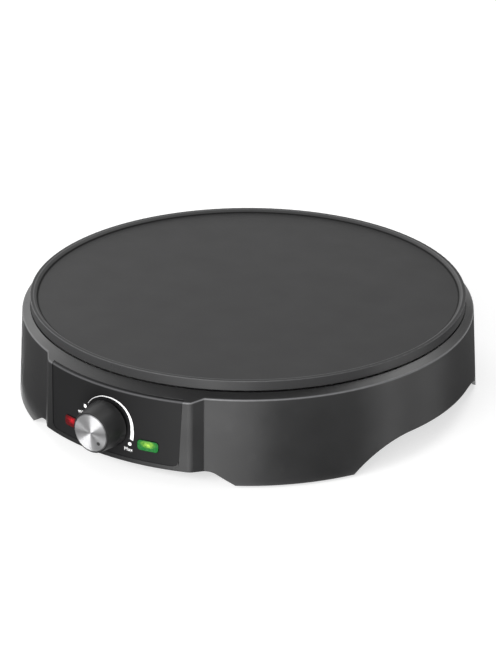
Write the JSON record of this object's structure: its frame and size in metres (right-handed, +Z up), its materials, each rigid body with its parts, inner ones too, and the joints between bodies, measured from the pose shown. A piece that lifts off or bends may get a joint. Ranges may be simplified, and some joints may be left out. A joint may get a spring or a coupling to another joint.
{
  "type": "electric crepe maker",
  "caption": "Round electric crepe maker: a shallow non-stick plate in a low housing on scalloped feet, with a control block that carries a turning knob and indicator lamps.",
  "frame": {"origin": "on the surface it stands on, under the middle of the box round the whole part; the hot plate's axis stands 9.2 mm behind it", "axes": "+Z up, -Y the side of the control block and knob, +Y the side of the cord entry, +X to the right of a person facing the knob"},
  "size_m": [0.3164, 0.34, 0.0718],
  "materials": {
    "housing_plastic": "satin black moulding",
    "fascia_plastic": "gloss black insert",
    "cover_plastic": "black moulding with a fine spark texture",
    "zinc_steel": "zinc plated",
    "foot_rubber": "matt black rubber",
    "nonstick": "cast aluminium under a matt black non-stick coating",
    "ceramic": "unglazed steatite ceramic",
    "shield_sheet": "bare rolled sheet",
    "sheath_steel": "heat tinted stainless tube",
    "brass": "plain brass",
    "bronze_strip": "rolled spring bronze",
    "bimetal": "rolled bimetal",
    "knob_plastic": "gloss black",
    "cap_aluminium": "turned and bevelled",
    "red_lens": "clear red",
    "green_lens": "clear green",
    "holder_plastic": "natural moulding",
    "lamp_glass": "clear glass",
    "fuse_sleeve": "woven glass sleeve",
    "terminal_plastic": "white moulding",
    "live_insulation": "brown insulation",
    "neutral_insulation": "blue insulation",
    "earth_insulation": "green and yellow insulation",
    "heat_insulation": "white silicone insulation",
    "gland_rubber": "black grommet"
  },
  "bodies": {
    "base": {"housing": "housing_plastic", "control_fascia": "fascia_plastic", "base_cover": "cover_plastic", "base_screws": "zinc_steel", "foot_pads": "foot_rubber", "hot_plate": "nonstick", "plate_spacers": "ceramic", "plate_screws": "zinc_steel", "heat_shield": "shield_sheet", "heating_element": "sheath_steel", "element_seals": "ceramic", "element_tabs": "zinc_steel", "tab_connectors": "brass", "thermostat_bracket": "zinc_steel", "bracket_screws": "zinc_steel", "thermostat_bush": "brass", "bush_end_plate": "brass", "bush_nut": "zinc_steel", "blade_terminal": "bronze_strip", "fixed_blade": "bronze_strip", "bimetal_strip": "bimetal", "bimetal_rod": "ceramic", "stack_insulators": "ceramic", "stack_rivet": "zinc_steel", "red_lens": "red_lens", "green_lens": "green_lens", "lamp_holders": "holder_plastic", "neon_lamps": "lamp_glass", "thermal_fuse": "fuse_sleeve", "fuse_clip": "zinc_steel", "fuse_screw": "zinc_steel", "terminal_block": "terminal_plastic", "terminal_sleeves": "brass", "terminal_screws": "zinc_steel", "earth_tag": "brass", "earth_screw": "zinc_steel", "live_lead": "live_insulation", "switched_lead": "heat_insulation", "fuse_lead": "heat_insulation", "neutral_lead": "neutral_insulation", "earth_lead": "earth_insulation", "lamp_lead": "heat_insulation", "crimp_sleeves": "brass", "cord_gland": "gland_rubber"},
    "knob": {"knob_body": "knob_plastic", "knob_cap": "cap_aluminium", "knob_spring": "zinc_steel", "control_spindle": "zinc_steel"},
    "adjuster": {"adjusting_pin": "brass"},
    "blade": {"moving_blade": "bronze_strip"}
  },
  "joints": [
    {"name": "knob_turn", "type": "hinge", "parent": "base", "child": "knob", "pos_m": [0, -0.15178, 0.0341], "axis": [0, -1, 0], "range_deg": [0, 196]},
    {"name": "pin_feed", "type": "slide", "parent": "base", "child": "adjuster", "axis": [0, -1, 0], "range_m": [0, 0.00085]},
    {"name": "blade_flex", "type": "hinge", "parent": "base", "child": "blade", "pos_m": [0.011, -0.10305, 0.0341], "axis": [0, 0, 1], "range_deg": [0, 4.4]}
  ],
  "couplings": [
    {"joint": "pin_feed", "follows": "knob_turn", "m_per_rad": 0.00023873},
    {"joint": "blade_flex", "follows": "knob_turn", "ratio": 0.021703}
  ]
}
